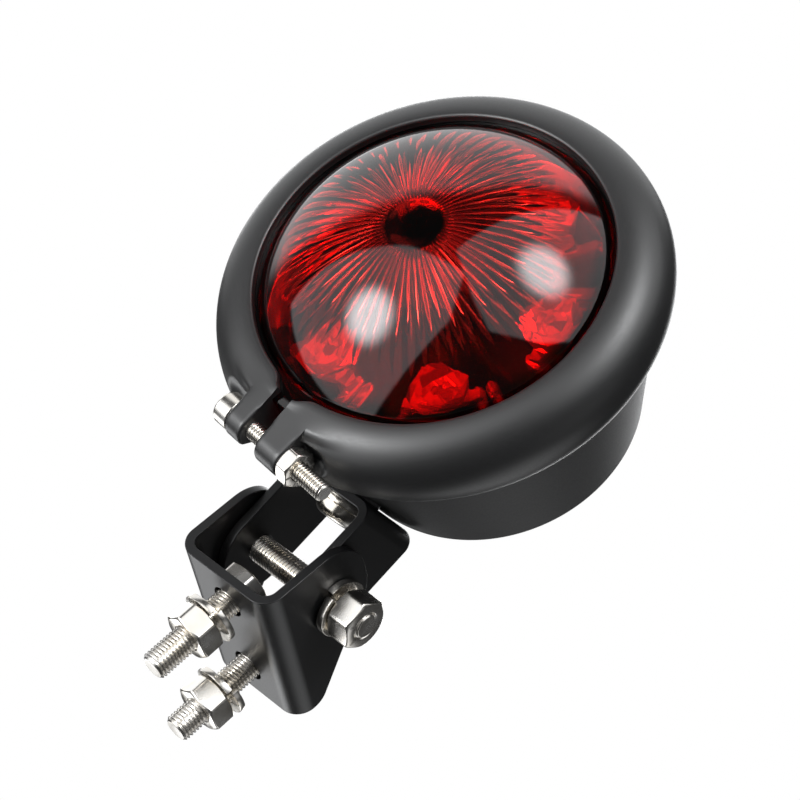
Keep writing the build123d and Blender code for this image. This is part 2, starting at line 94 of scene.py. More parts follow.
# Studio panels as corner directions seen from the lamp, brightness and edge softness.
LEFT_PANEL = (
    (-0.92, -0.10, -0.40),
    (-0.80, -0.55, -0.24),
    (-0.42, -0.91, -0.04),
    (0.10, -0.99, 0.02),
    (0.28, -0.88, -0.38),
    (0.20, -0.70, -0.68),
    (-0.02, -0.02, -1.00),
)
RIGHT_PANEL = (
    (-0.09, -0.99, 0.13),
    (0.30, -0.94, -0.10),
    (0.56, -0.81, -0.19),
    (0.80, -0.58, 0.08),
    (0.86, -0.36, 0.38),
    (0.50, -0.05, 0.87),
    (0.03, -0.10, 0.99),
    (-0.05, -0.70, 0.70),
)
TOP_PANEL = (
    (-0.97, 0.22, -0.05),
    (-0.96, -0.28, -0.02),
    (-0.72, -0.64, 0.25),
    (-0.40, -0.70, 0.58),
    (-0.12, -0.20, 0.97),
    (0.00, 0.30, 0.95),
    (-0.62, 0.60, 0.50),
)
SIDE_PANEL = ((0.97, -0.20, -0.25), (0.95, 0.25, -0.25), (0.90, 0.25, 0.35), (0.92, -0.05, 0.35))
REAR_LEFT_PANEL = ((-0.88, 0.38, 0.25), (-0.15, 0.95, 0.27), (-0.10, 0.72, 0.70), (-0.70, 0.40, 0.62))
REAR_RIGHT_PANEL = ((0.02, 0.93, -0.38), (0.80, 0.50, -0.38), (0.80, 0.50, 0.10), (0.12, 0.95, 0.10))
REAR_LOW_PANEL = ((-0.80, 0.50, -0.27), (-0.15, 0.92, -0.27), (-0.15, 0.70, -0.70), (-0.70, 0.35, -0.62))
PANELS = (
    (REAR_LOW_PANEL, 2.8, 0.06),
    (LEFT_PANEL, 1.45, 0.02),
    (RIGHT_PANEL, 1.3, 0.02),
    (TOP_PANEL, 1.15, 0.10),
    (SIDE_PANEL, 0.34, 0.12),
    (REAR_LEFT_PANEL, 4.0, 0.08),
    (REAR_RIGHT_PANEL, 0.95, 0.15),
)
# Lamps behind the panels: direction, inner and outer cosine, brightness.
HOT_SPOTS = (
    ((-0.35, -0.71, -0.61), 0.996, 0.945, 15.0),
    ((0.43, -0.75, 0.51), 0.996, 0.945, 12.0),
)
AMBIENT = 0.05


def make_world():
    """White to the camera; elsewhere a dim room with soft panels around the lamp."""
    world = bpy.data.worlds.new("studio")
    world.use_nodes = True
    tree = world.node_tree
    nodes, links = tree.nodes, tree.links
    where = nodes.new("ShaderNodeTexCoord").outputs["Generated"]

    def along(direction):
        dot = nodes.new("ShaderNodeVectorMath")
        dot.operation = "DOT_PRODUCT"
        dot.inputs[1].default_value = direction
        links.new(where, dot.inputs[0])
        return dot.outputs["Value"]

    def step(value, low, high, result=1.0):
        node = nodes.new("ShaderNodeMapRange")
        node.interpolation_type = "SMOOTHSTEP"
        node.inputs["From Min"].default_value = low
        node.inputs["From Max"].default_value = high
        node.inputs["To Max"].default_value = result
        links.new(value, node.inputs["Value"])
        return node.outputs["Result"]

    def sum_or_product(operation, a, b):
        node = nodes.new("ShaderNodeMath")
        node.operation = operation
        links.new(a, node.inputs[0])
        if isinstance(b, float):
            node.inputs[1].default_value = b
        else:
            links.new(b, node.inputs[1])
        return node.outputs[0]

    total = None
    for corners, bright, soft in PANELS:
        corners = [Vector(c).normalized() for c in corners]
        middle = sum(corners, Vector()).normalized()
        mask = None
        for a, b in zip(corners, corners[1:] + corners[:1]):
            inward = a.cross(b).normalized()
            if inward.dot(middle) < 0:
                inward.negate()
            edge = step(along(inward), -soft, soft, bright if mask is None else 1.0)
            mask = edge if mask is None else sum_or_product("MULTIPLY", mask, edge)
        total = mask if total is None else sum_or_product("ADD", total, mask)
    for direction, inner, outer, bright in HOT_SPOTS:
        spot = step(along(Vector(direction).normalized()), outer, inner)
        spot = sum_or_product("POWER", spot, 3.0)
        total = sum_or_product("ADD", total, sum_or_product("MULTIPLY", spot, bright))
    total = sum_or_product("ADD", total, AMBIENT)

    seen = nodes["Background"]
    seen.inputs["Color"].default_value = (1, 1, 1, 1)
    studio = nodes.new("ShaderNodeBackground")
    studio.inputs["Color"].default_value = (0.98, 0.99, 1, 1)
    links.new(total, studio.inputs["Strength"])
    ray = nodes.new("ShaderNodeLightPath")
    mix = nodes.new("ShaderNodeMixShader")
    links.new(ray.outputs["Is Camera Ray"], mix.inputs["Fac"])
    links.new(studio.outputs[0], mix.inputs[1])
    links.new(seen.outputs[0], mix.inputs[2])
    links.new(mix.outputs[0], nodes["World Output"].inputs["Surface"])
    bpy.context.scene.world = world
    bpy.context.scene.view_settings.view_transform = "Standard"


def make_floor():
    """Pale floor below the camera; the panels shine past it."""
    mesh = bpy.data.meshes.new("floor")
    half = 3.0
    corners = [(-half, -half, FLOOR_Z), (half, -half, FLOOR_Z), (half, half, FLOOR_Z), (-half, half, FLOOR_Z)]
    mesh.from_pydata(corners, [], [(0, 1, 2, 3)])
    floor = bpy.data.objects.new("floor", mesh)
    bpy.context.scene.collection.objects.link(floor)
    floor.data.materials.append(floor_card())
    floor.visible_diffuse = floor.visible_glossy = floor.visible_transmission = floor.visible_shadow = False


# ---- materials ------------------------------------------------------------------------------
def node_material(name):
    material = bpy.data.materials.new(name)
    material.use_nodes = True
    tree = material.node_tree
    return material, tree, tree.nodes["Principled BSDF"]


def noise_node(tree, scale, detail=4.0):
    where = tree.nodes.new("ShaderNodeTexCoord")
    noise = tree.nodes.new("ShaderNodeTexNoise")
    noise.inputs["Scale"].default_value = scale
    noise.inputs["Detail"].default_value = detail
    tree.links.new(where.outputs["Object"], noise.inputs["Vector"])
    return noise


def ramp(tree, source, low, high, start=0.35, end=0.65):
    node = tree.nodes.new("ShaderNodeMapRange")
    node.inputs["From Min"].default_value = start
    node.inputs["From Max"].default_value = end
    node.inputs["To Min"].default_value = low
    node.inputs["To Max"].default_value = high
    tree.links.new(source, node.inputs["Value"])
    return node.outputs["Result"]


def tint(tree, source, dark, light):
    node = tree.nodes.new("ShaderNodeMix")
    node.data_type = "RGBA"
    node.inputs["A"].default_value = (*dark, 1)
    node.inputs["B"].default_value = (*light, 1)
    tree.links.new(source, node.inputs["Factor"])
    return node.outputs["Result"]


def bump(tree, shader, source, strength, distance):
    node = tree.nodes.new("ShaderNodeBump")
    node.inputs["Strength"].default_value = strength
    node.inputs["Distance"].default_value = distance
    tree.links.new(source, node.inputs["Height"])
    tree.links.new(node.outputs["Normal"], shader.inputs["Normal"])


def paint(name, colour, roughness, grain=0.06, grain_scale=2600.0, specular=0.5):
    """Satin powder coat: slight colour drift, fine grain in the height and the gloss."""
    material, tree, shader = node_material(name)
    drift = noise_node(tree, 45.0)
    fine = noise_node(tree, grain_scale, 3.0)
    darker = tuple(c * 0.88 for c in colour)
    lighter = tuple(min(1.0, c * 1.1) for c in colour)
    shade = tint(tree, ramp(tree, drift.outputs["Fac"], 0, 1), darker, lighter)
    tree.links.new(shade, shader.inputs["Base Color"])
    rough = ramp(tree, fine.outputs["Fac"], roughness - 0.03, roughness + 0.03)
    tree.links.new(rough, shader.inputs["Roughness"])
    if grain:
        bump(tree, shader, fine.outputs["Fac"], grain, 0.00004)
    shader.inputs["Specular IOR Level"].default_value = specular
    return material


def plated_steel(name, colour=(0.80, 0.78, 0.75), roughness=0.22):
    """Bright nickel on steel: blurred mirror, faint grain, warmer in the hollows of the noise."""
    material, tree, shader = node_material(name)
    drift = noise_node(tree, 180.0, 5.0)
    fine = noise_node(tree, 1500.0, 4.0)
    warm = (colour[0] * 0.93, colour[1] * 0.9, colour[2] * 0.84)
    shade = tint(tree, ramp(tree, drift.outputs["Fac"], 0, 1), warm, colour)
    tree.links.new(shade, shader.inputs["Base Color"])
    rough = ramp(tree, drift.outputs["Fac"], roughness - 0.05, roughness + 0.07)
    tree.links.new(rough, shader.inputs["Roughness"])
    shader.inputs["Metallic"].default_value = 1.0
    bump(tree, shader, fine.outputs["Fac"], 0.05, 0.00005)
    return material


def clear_red(name, colour, roughness=0.02):
    """Red plastic that bends light, and lets the lamps' light through to what is behind it."""
    material, tree, shader = node_material(name)
    drift = noise_node(tree, 60.0)
    deeper = tuple(c * 0.9 for c in colour)
    shade = tint(tree, ramp(tree, drift.outputs["Fac"], 0, 1), deeper, colour)
    tree.links.new(shade, shader.inputs["Base Color"])
    tree.links.new(ramp(tree, drift.outputs["Fac"], roughness, roughness + 0.02), shader.inputs["Roughness"])
    shader.inputs["IOR"].default_value = 1.49
    shader.inputs["Transmission Weight"].default_value = 1.0
    ray = tree.nodes.new("ShaderNodeLightPath")
    passing = tree.nodes.new("ShaderNodeBsdfTransparent")
    passing.inputs["Color"].default_value = (*[c**0.5 for c in colour], 1)
    mix = tree.nodes.new("ShaderNodeMixShader")
    tree.links.new(ray.outputs["Is Shadow Ray"], mix.inputs["Fac"])
    tree.links.new(shader.outputs[0], mix.inputs[1])
    tree.links.new(passing.outputs[0], mix.inputs[2])
    tree.links.new(mix.outputs[0], tree.nodes["Material Output"].inputs["Surface"])
    return material


def lamp_radius(tree, centre=(0, 0, 0)):
    """Distance in millimetres from an axis through centre, parallel to the lens axis."""
    shift, turn, scale = LAMP.inverted().decompose()
    where = tree.nodes.new("ShaderNodeTexCoord")
    lamp = tree.nodes.new("ShaderNodeMapping")
    lamp.inputs["Location"].default_value = shift
    lamp.inputs["Rotation"].default_value = turn.to_euler()
    lamp.inputs["Scale"].default_value = scale
    tree.links.new(where.outputs["Object"], lamp.inputs["Vector"])
    flat = tree.nodes.new("ShaderNodeVectorMath")
    flat.operation = "MULTIPLY"
    flat.inputs[1].default_value = (1, 0, 1)
    tree.links.new(lamp.outputs[0], flat.inputs[0])
    away = tree.nodes.new("ShaderNodeVectorMath")
    away.operation = "DISTANCE"
    away.inputs[1].default_value = centre
    tree.links.new(flat.outputs[0], away.inputs[0])
    return away.outputs["Value"]


def zoned(tree, shader, factor, colour):
    """Keep the base colour where factor is 1 and use another where it is 0."""
    source = shader.inputs["Base Color"].links[0].from_socket
    zones = tree.nodes.new("ShaderNodeMix")
    zones.data_type = "RGBA"
    zones.inputs["A"].default_value = (*colour, 1)
    tree.links.new(factor, zones.inputs["Factor"])
    tree.links.new(source, zones.inputs["B"])
    tree.links.new(zones.outputs["Result"], shader.inputs["Base Color"])


# Centre of the painted shadow that the centre post casts on the lens hub.
HUB_SHADE = (2.6, 0, 0.3)


def lens_red_with_painted_shadows(name, colour, deep):
    """Clear red between the hub and the dome's edge; painted shadow turns the hub (the centre post's shadow)
    and the flange (the ring lip's shadow) a deep, nearly opaque red.
    """
    material = clear_red(name, colour)
    tree = material.node_tree
    shader = tree.nodes["Principled BSDF"]
    # Painted shadow: deep red round HUB_SHADE for the centre post's shadow on the hub.
    zoned(tree, shader, ramp(tree, lamp_radius(tree, HUB_SHADE), 0, 1, 3.8, 5.3), deep)
    # Painted shadow: deep red outside 32.2 mm for the shadow of the ring's lip on the lens edge and flange.
    zoned(tree, shader, ramp(tree, lamp_radius(tree), 1, 0, 32.2, 34.0), deep)
    return material


def reflector_with_painted_shade(name, bright, dark):
    """Bright metallised rim around a floor painted dark as the shade deep inside the housing."""
    material = moulded(name, bright, 0.18, metallic=1.0)
    tree = material.node_tree
    # Painted shade: inside 31.4 mm the reflector takes the dark colour, for the shade deep in the housing.
    zoned(tree, tree.nodes["Principled BSDF"], ramp(tree, lamp_radius(tree), 0, 1, 31.4, 32.0), dark)
    return material


def cut_acrylic(name, colour):
    """Clear plastic whose facets mirror the light, as cut collimators do."""
    material = moulded(name, colour, 0.07)
    shader = material.node_tree.nodes["Principled BSDF"]
    shader.inputs["Metallic"].default_value = 0.7
    shader.inputs["Transmission Weight"].default_value = 0.5
    shader.inputs["IOR"].default_value = 1.49
    return material


def floor_card():
    """Plain pale card with barely any drift in tone."""
    material, tree, shader = node_material("floor_card")
    drift = noise_node(tree, 1.5, 2.0)
    shade = tint(tree, drift.outputs["Fac"], (0.86, 0.86, 0.86), (0.88, 0.88, 0.88))
    tree.links.new(shade, shader.inputs["Base Color"])
    shader.inputs["Roughness"].default_value = 0.9
    return material


def moulded(name, colour, roughness, metallic=0.0):
    """Moulded plastic, rubber or bare metal of one tone with a fine surface."""
    material = paint(name, colour, roughness, grain=0.1, grain_scale=1400.0)
    material.node_tree.nodes["Principled BSDF"].inputs["Metallic"].default_value = metallic
    return material


# ---- mesh helpers ---------------------------------------------------------------------------
def finish_piece(name, mesh, place, body, node, material, sharp=32.0, weighted=True):
    """Link a mesh drawn in millimetres as a piece that stands for a CAD node."""
    mesh.transform(place)
    bm = bmesh.new()
    bm.from_mesh(mesh)
    bmesh.ops.remove_doubles(bm, verts=bm.verts, dist=2e-7)
    bmesh.ops.recalc_face_normals(bm, faces=bm.faces)
    bm.to_mesh(mesh)
    bm.free()
    mesh.polygons.foreach_set("use_smooth", [True] * len(mesh.polygons))
    if sharp:
        mesh.set_sharp_from_angle(angle=math.radians(sharp))
    piece = bpy.data.objects.new(name, mesh)
    bpy.context.scene.collection.objects.link(piece)
    mesh.materials.clear()
    mesh.materials.append(material)
    if weighted:
        modifier = piece.modifiers.new("flat_faces", "WEIGHTED_NORMAL")
        modifier.keep_sharp = True
    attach(piece, body)
    if node:
        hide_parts(*([node] if isinstance(node, str) else node))
    return piece


def grid_faces(rows, columns, closed_columns=True, closed_rows=False, start=0):
    faces = []
    for i in range(rows if closed_rows else rows - 1):
        a, b = i, (i + 1) % rows
        for j in range(columns if closed_columns else columns - 1):
            k = (j + 1) % columns
            corners = (a * columns + j, a * columns + k, b * columns + k, b * columns + j)
            faces.append(tuple(start + n for n in corners))
    return faces


def surface_of_rings(rings, capped):
    """Mesh through rings of equally many points; open ends are capped, or the last joins the first."""
    count = len(rings[0])
    verts = [p for ring in rings for p in ring]
    faces = grid_faces(len(rings), count, closed_rows=not capped)
    if capped:
        faces.append(tuple(range(count)))
        last = (len(rings) - 1) * count
        faces.append(tuple(last + j for j in reversed(range(count))))
    mesh = bpy.data.meshes.new("rings")
    mesh.from_pydata(verts, [], faces)
    return mesh


def joined(meshes):
    """One mesh of several closed shells."""
    bm = bmesh.new()
    for mesh in meshes:
        bm.from_mesh(mesh)
    out = bpy.data.meshes.new("joined")
    bm.to_mesh(out)
    bm.free()
    return out


def creased(mesh, angle=32.0):
    """Mark this mesh's own edges sharp before it joins a smooth one."""
    mesh.set_sharp_from_angle(angle=math.radians(angle))
    return mesh


def moved(mesh, matrix):
    mesh.transform(matrix)
    return mesh


def turned(profile, segments=160, capped=False):
    """Closed profile of (radius, height) turned about Z. A radius of 0 meets the axis."""
    rings = []
    for radius, height in profile:
        angles = [2 * math.pi * k / segments for k in range(segments)]
        rings.append([(radius * math.cos(a), radius * math.sin(a), height) for a in angles])
    return surface_of_rings(rings, capped)


def rounded(points, radius, steps=4):
    """Closed outline with its corners rounded by up to the given radius."""
    out = []
    count = len(points)
    for k in range(count):
        before, here, after = (np.array(points[(k + d) % count], float) for d in (-1, 0, 1))
        a, b = before - here, after - here
        reach = min(radius, np.linalg.norm(a) * 0.45, np.linalg.norm(b) * 0.45)
        if reach < 1e-6 or here[0] < 1e-6:
            out.append(tuple(here))
            continue
        p = here + a / np.linalg.norm(a) * reach
        q = here + b / np.linalg.norm(b) * reach
        for t in np.linspace(0, 1, steps + 1):
            out.append(tuple((1 - t) ** 2 * p + 2 * t * (1 - t) * here + t * t * q))
    return out


# ---- threaded hardware ------------------------------------------------------------------------
HEX_ROUNDNESS = 34
HEX_SEGMENTS = 120


def hexagon_radius(flats, angle):
    """Distance from the centre to a hexagon with slightly rounded corners."""
    total = sum(max(0.0, math.cos(angle - math.radians(60 * k))) ** HEX_ROUNDNESS for k in range(6))
    return flats / 2 / total ** (1 / HEX_ROUNDNESS)


def hexagon_mesh(flats, height, bore=0.0, both_ends=True):
    """Nut or bolt head along +Z from 0, corners turned off at 30 degrees, small edge breaks."""
    start = 0.485 * flats
    slope = math.tan(math.radians(30))
    edge = 0.12
    angles = [2 * math.pi * k / HEX_SEGMENTS for k in range(HEX_SEGMENTS)]

    def ring(radius, level):
        return [(radius(a) * math.cos(a), radius(a) * math.sin(a), level(a)) for a in angles]

    def corner(a):
        return hexagon_radius(flats, a)

    def fall(a, inset=0.0):
        return max(0.0, corner(a) - inset - start) * slope

    def plain(radius):
        return lambda a: radius

    top = [
        ring(corner, lambda a: height - fall(a) - edge),
        ring(lambda a: corner(a) - edge, lambda a: height - fall(a, edge)),
        ring(plain(start), plain(height)),
    ]
    if both_ends:
        bottom = [
            ring(plain(start), plain(0)),
            ring(lambda a: corner(a) - edge, lambda a: fall(a, edge)),
            ring(corner, lambda a: fall(a) + edge),
        ]
    else:
        bottom = [ring(lambda a: corner(a) - edge, plain(0)), ring(corner, plain(edge))]
    if not bore:
        middle = 0.6 * start
        rings = [ring(plain(middle), plain(0)), *bottom, *top, ring(plain(middle), plain(height))]
        return surface_of_rings(rings, True)
    lead = 0.45
    inside = [
        ring(plain(bore + lead), plain(height)),
        ring(plain(bore), plain(height - lead)),
        ring(plain(bore), plain(lead)),
        ring(plain(bore + lead), plain(0)),
    ]
    return surface_of_rings([*bottom, *top, *inside], False)


THREAD_SEGMENTS = 56
THREAD_RINGS = 12


def thread_mesh(radius, pitch, length, lead=0.7, plain_from=None):
    """Rod from 0 down -Z with a right-hand helical thread and a chamfered tip."""
    depth = 0.6 * pitch
    count = int(length / pitch * THREAD_RINGS)
    rings = []
    for i in range(count + 1):
        down = length * i / count
        tip = radius - max(0.0, lead - (length - down))
        ring = []
        for k in range(THREAD_SEGMENTS):
            share = k / THREAD_SEGMENTS
            phase = (down / pitch + share) % 1.0
            flank = abs(2 * phase - 1)
            crest = min(1.0, max(0.0, (flank - 0.08) / 0.80))
            r = min(radius - depth * (1 - crest), tip)
            if plain_from is not None and down < plain_from:
                r = min(radius, tip)
            angle = 2 * math.pi * share
            ring.append((r * math.cos(angle), r * math.sin(angle), -down))
        rings.append(ring)
    return surface_of_rings(rings, True)


def spring_washer_mesh(outer, inner, thickness, rise, turn, slot=9.0):
    """Split spring washer along +Z from 0: a flat bar bent into one turn of a left-hand helix."""
    edge = 0.18
    bar = rounded([(inner, 0), (outer, 0), (outer, thickness), (inner, thickness)], edge, 2)
    steps = 120
    first = math.radians(turn + slot / 2)
    sweep = math.radians(360 - slot)
    rings = []
    for i in range(steps + 1):
        share = i / steps
        a = first + sweep * share
        rings.append([(r * math.cos(a), r * math.sin(a), h + rise * (1 - share)) for r, h in bar])
    return surface_of_rings(rings, True)


def socket_head_mesh(outline, socket_flats, socket_depth):
    """Turned head along +Z with its outer end at 0 and a hexagon socket in that end."""
    angles = [2 * math.pi * k / HEX_SEGMENTS for k in range(HEX_SEGMENTS)]

    def circle(radius, height):
        return [(radius * math.cos(a), radius * math.sin(a), height) for a in angles]

    def hexagon(flats, height):
        radii = [hexagon_radius(flats, a) for a in angles]
        return [(r * math.cos(a), r * math.sin(a), height) for r, a in zip(radii, angles)]

    rings = [
        circle(0.35 * socket_flats, socket_depth + 0.2),
        hexagon(socket_flats, socket_depth),
        hexagon(socket_flats, 0.15),
        hexagon(socket_flats * 1.07, 0),
    ]
    rings += [circle(radius, height) for radius, height in outline]
    return surface_of_rings(rings, True)


BASE_HALF_WIDTH = 13.0
BOLT_PITCH = 22.0
BOLT_REACH = 20.0
SHEET = 2.0
M6_CREST = 2.98
M6_PITCH = 0.8
M6_FLATS = 10.0
M6_HEAD = 4.0
M6_NUT = 5.0
M6_WASHER = 1.6
NUT_BORE = 2.7
WASHER_TOPS = (4.1, 6.9)
WASHER_TURNS = (-56, -38)
NUT_TURNS = (20, 23)
NUT_SLACK = 0.4
PIVOT_WASHER = 2.6
PIVOT_NUT = 5.7
HEX_CORNER = 30


def place(x=0.0, y=0.0, z=0.0):
    return Matrix.Translation((x, y, z))


def spin(axis, degrees):
    return Matrix.Rotation(math.radians(degrees), 4, axis)


def make_mounting_hardware(steel):
    rows = zip((-BOLT_PITCH / 2, BOLT_PITCH / 2), WASHER_TOPS, WASHER_TURNS, NUT_TURNS)
    bolts, washers, nuts = [], [], []
    for y, top, washer_turn, nut_turn in rows:
        head = moved(hexagon_mesh(M6_FLATS, M6_HEAD, both_ends=False), spin("Z", HEX_CORNER))
        bolt = joined([creased(head), thread_mesh(M6_CREST, M6_PITCH, BOLT_REACH + SHEET)])
        bolts.append(moved(bolt, place(0, y, SHEET)))
        washer = spring_washer_mesh(5.95, 3.25, 1.35, 0.8, washer_turn)
        tilted = place(0, y, -top - 1.6) @ spin("X", 3.0)
        washers.append(moved(washer, tilted))
        nut = hexagon_mesh(M6_FLATS, M6_NUT, NUT_BORE)
        drop = top + M6_WASHER + NUT_SLACK + M6_NUT
        nuts.append(moved(nut, place(0, y, -drop) @ spin("Z", nut_turn + HEX_CORNER)))
    for node, meshes, sharp in (
        ("mounting_bolts", bolts, None),
        ("mounting_lock_washers", washers, 32.0),
        ("mounting_nuts", nuts, 32.0),
    ):
        finish_piece(node + "_steel", joined(meshes), ROW, "base", node, steel, sharp=sharp)


def make_pivot_hardware(steel):
    hinge = Matrix.Translation(HINGE) @ ROW
    length = M6_WASHER + 2 * BASE_HALF_WIDTH + PIVOT_WASHER + PIVOT_NUT + NUT_SLACK
    head = moved(hexagon_mesh(M6_FLATS, M6_HEAD, both_ends=False), spin("Z", HEX_CORNER))
    bolt = joined([creased(head), thread_mesh(M6_CREST, M6_PITCH, length)])
    at_head = hinge @ place(-BASE_HALF_WIDTH - M6_WASHER) @ spin("Y", -90) @ spin("Z", 12)
    finish_piece("pivot_bolt_steel", bolt, at_head, "base", "pivot_bolt", steel, sharp=None)

    outline = rounded([(3.2, 0), (6.0, 0), (6.0, M6_WASHER), (3.2, M6_WASHER)], 0.2, 2)
    at_washer = hinge @ place(-BASE_HALF_WIDTH - M6_WASHER) @ spin("Y", 90)
    name = "pivot_flat_washer_steel"
    finish_piece(name, turned(outline), at_washer, "base", "pivot_flat_washer", steel)

    at_leg = hinge @ place(BASE_HALF_WIDTH) @ spin("Y", 90)
    washer = spring_washer_mesh(6.1, 3.25, 1.6, 0.9, -75)
    name = "pivot_lock_washer_steel"
    finish_piece(name, washer, at_leg, "base", "pivot_lock_washer", steel)
    at_nut = at_leg @ place(0, 0, PIVOT_WASHER) @ spin("Z", 18 + HEX_CORNER)
    nut = hexagon_mesh(M6_FLATS, PIVOT_NUT, NUT_BORE)
    finish_piece("pivot_nut_steel", nut, at_nut, "base", "pivot_nut", steel)


HOUSING_FRONT = (41.4, 16.6)
HOUSING_BACK = (32.3, 52.0)
HOUSING_TAPER = math.degrees(
    math.atan((HOUSING_FRONT[0] - HOUSING_BACK[0]) / (HOUSING_BACK[1] - HOUSING_FRONT[1]))
)
WEB_PLACE = LAMP @ place(0, 38.5, -36.1) @ spin("X", HOUSING_TAPER) @ place(0, -3.5, 0)
BUTTON_HEAD = (5.25, 3.3)


def make_bracket_screw(steel):
    radius, height = BUTTON_HEAD
    dome = []
    for t in np.linspace(0.25, 1, 9):
        dome.append((2.6 + (radius - 2.6) * t, (height - 0.4) * (1 - math.sqrt(1 - t * t))))
    outline = [(2.8, 0.0), *dome, (radius, height - 0.15), (radius - 0.15, height), (2.9, height)]
    head = socket_head_mesh(outline, 4.0, 1.7)
    shank = moved(thread_mesh(M6_CREST - 0.05, M6_PITCH, 15), place(0, 0, height) @ spin("X", 180))
    under = WEB_PLACE @ place(0, 0, -SHEET - M6_WASHER - height)
    screw = joined([creased(head), shank])
    name = "bracket_screw_steel"
    finish_piece(name, screw, under, "lamp", "bracket_screw", steel, sharp=None)
    washer = spring_washer_mesh(5.9, 3.2, 1.5, 0.08, 130, 6)
    at_web = WEB_PLACE @ place(0, 0, -SHEET - M6_WASHER)
    name = "bracket_lock_washer_steel"
    finish_piece(name, washer, at_web, "lamp", "bracket_lock_washer", steel)
    nut = hexagon_mesh(M6_FLATS, M6_NUT, NUT_BORE)
    inside = WEB_PLACE @ place(0, 0, 5.5)
    finish_piece("bracket_nut_steel", nut, inside, "lamp", "bracket_nut", steel)


CLAMP_AXIS = (5.3, -46.5)
EAR_HEAD_X = 7.0
EAR_NUT_X = 8.85


def make_clamp_hardware(steel):
    at_axis = RING @ place(0, *CLAMP_AXIS)
    outline = [(2.9, 0), (3.1, 0.05), (3.35, 0.25), (3.5, 0.6), (3.5, 3.8), (3.35, 4.0), (2.0, 4.0)]
    head = moved(socket_head_mesh(outline, 3.0, 2.0), place(0, 0, -4.0))
    shank = moved(thread_mesh(1.93, 0.7, 26.5, lead=0.5), spin("X", 180))
    at_head = at_axis @ place(-EAR_HEAD_X) @ spin("Y", 90)
    screw = joined([creased(head), shank])
    name = "clamp_screw_steel"
    finish_piece(name, screw, at_head, "lamp", "clamp_screw", steel, sharp=None)
    nut = hexagon_mesh(7.0, 3.2, 1.75)
    at_nut = at_axis @ place(EAR_NUT_X) @ spin("Y", 90) @ spin("Z", 10 + HEX_CORNER)
    finish_piece("clamp_nut_steel", nut, at_nut, "lamp", "clamp_nut", steel)


# ---- painted brackets ---------------------------------------------------------------------------
def eased_copy(node, name, body, material, width=0.35):
    """The CAD bracket's own mesh with its edges eased, as thick paint eases them."""
    mesh = frame["nodes"][node].data.copy()
    bm = bmesh.new()
    bm.from_mesh(mesh)
    bmesh.ops.remove_doubles(bm, verts=bm.verts, dist=2e-6)
    bmesh.ops.dissolve_limit(bm, angle_limit=math.radians(0.6), verts=bm.verts, edges=bm.edges)
    sharp = [e for e in bm.edges if len(e.link_faces) == 2 and e.calc_face_angle() > math.radians(50)]
    ease = {"offset": width * MM, "segments": 3, "profile": 0.5, "affect": "EDGES", "clamp_overlap": True}
    bmesh.ops.bevel(bm, geom=sharp, **ease)
    bm.to_mesh(mesh)
    bm.free()
    if "custom_normal" in mesh.attributes:
        mesh.attributes.remove(mesh.attributes["custom_normal"])
    return finish_piece(name, mesh, Matrix.Identity(4), body, node, material, sharp=40.0)


# ---- clamp ring ---------------------------------------------------------------------------------
OPENING_RADIUS = 36.1
TUBE_CENTRE = (36.6, 9.4)
TUBE_RADIUS = 9.4
RING_REAR_ANGLE = 48.0
RING_GAP = 4.5
EAR_RADIUS = 3.7
LIP_FLARE = 2.0
LIP_ROOT = 40.0
SCALLOP = (4.7, 12.1, 16.0)
RAY_CENTRE = (40.0, 7.0)
RING_CHANNEL = [(41.7, 14.5), (42.9, 14.5), (42.9, 11.0), (40.4, 11.0)]
RING_CHANNEL += [(40.4, 1.8), (36.1, 1.8), (36.1, 0.55)]


def ray_reach(points, angles):
    """Distance from RAY_CENTRE to an outline, along each angle."""
    offsets = np.array(points, float) - np.array(RAY_CENTRE)
    bearing = np.arctan2(offsets[:, 1], offsets[:, 0])
    order = np.argsort(bearing)
    return np.interp(angles, bearing[order], np.hypot(offsets[:, 0], offsets[:, 1])[order], left=0, right=0)


def tube_outline():
    turn = np.radians(np.linspace(-90, RING_REAR_ANGLE, 90))
    r, y = TUBE_CENTRE
    return [(r + TUBE_RADIUS * math.cos(a), y + TUBE_RADIUS * math.sin(a)) for a in turn]


def ear_outline(x):
    """Ear section at distance x from the split: tangent to the bead, heights turned into ring radii."""
    y, z = CLAMP_AXIS
    across = np.array((-z, y)) - np.array(TUBE_CENTRE)
    spread = math.asin((TUBE_RADIUS - EAR_RADIUS) / np.hypot(*across))
    lean = math.atan2(across[1], across[0]) + spread - math.pi / 2
    way = np.array((math.cos(lean), math.sin(lean)))
    turn = np.linspace(lean, math.radians(20), 40)
    end = [(-z + EAR_RADIUS * math.cos(a), y + EAR_RADIUS * math.sin(a)) for a in turn]
    root = np.array(TUBE_CENTRE) + TUBE_RADIUS * way
    flank = [(*(root + (np.array(end[0]) - root) * t), t) for t in np.linspace(0, 0.97, 24)]
    from_r, from_y = end[-1]
    steps = np.linspace(0.05, 1, 20)
    back = [(from_r + (40.5 - from_r) * t, from_y + (14.0 - from_y) * t) for t in steps]
    whole = [(r, level, 1.0) for r, level in (*end, *back)]
    return [(math.hypot(r, x * share), level) for r, level, share in (*flank, *whole)]


def relief_reach(x, angles):
    """Where a ray first meets the relief cut beside an ear, or a large number."""
    radius, straight, stop = SCALLOP
    share = (abs(x) - straight) / (stop - straight)
    if share >= 1:
        return np.full_like(angles, 99.0)
    size = radius * math.sqrt(1 - max(0.0, share) ** 2)
    centre = np.array((math.hypot(CLAMP_AXIS[1], x), CLAMP_AXIS[0])) - np.array(RAY_CENTRE)
    along = centre[0] * np.cos(angles) + centre[1] * np.sin(angles)
    inside = along**2 - centre @ centre + size**2
    return np.where(inside > 0, along - np.sqrt(np.maximum(inside, 0)), 99.0)


def smooth_least(a, b, width):
    h = np.clip(0.5 + 0.5 * (b - a) / width, 0, 1)
    return b + (a - b) * h - width * h * (1 - h)


def smooth_step(value, low, high):
    t = np.clip((value - low) / (high - low), 0, 1)
    return t * t * (3 - 2 * t)


